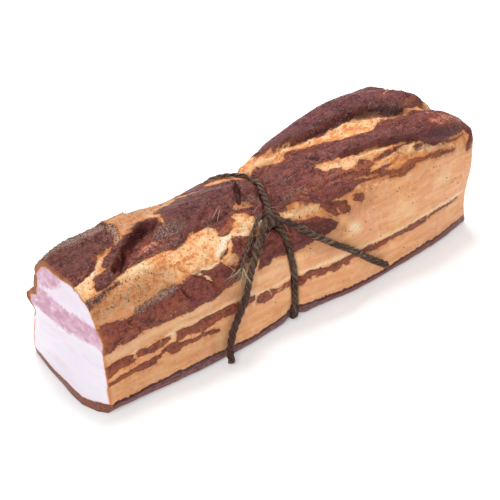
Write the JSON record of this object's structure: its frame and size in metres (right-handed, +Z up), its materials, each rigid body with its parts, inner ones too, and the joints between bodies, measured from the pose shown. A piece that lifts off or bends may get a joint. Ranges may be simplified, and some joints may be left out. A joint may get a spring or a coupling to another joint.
{
  "type": "smoked pork belly",
  "caption": "Slab of smoked pork belly with rind below, layered lean and fat, a fresh cut end and a tied loop of twine round its middle.",
  "frame": {"origin": "on the resting surface, under the middle of the slab's box", "axes": "+X along the slab towards its far, rounded end, so the fresh cut end faces -X; -Y out of the long side with the tails of twine; +Z up, away from the rind"},
  "size_m": [0.2596, 0.0833, 0.0744],
  "materials": {
    "base_fat": "smoked fat, orange tan outside and white where it is cut, satin",
    "lean_band": "smoked lean meat, dark red-brown outside and pink where it is cut, satin",
    "upper_fat": "smoked fat, orange tan with ground pepper, white where it is cut, satin",
    "top_lean": "smoked lean meat, dark red-brown with a dry crust, pink where it is cut",
    "twine": "rough smoked twine, dark grey-brown"
  },
  "bodies": {
    "root": {"base_fat": "base_fat", "lean_band": "lean_band", "upper_fat": "upper_fat", "top_lean": "top_lean", "twine_loop": "twine", "twine_knot": "twine", "tail_front": "twine", "tail_frayed": "twine", "tail_side": "twine"}
  },
  "joints": []
}
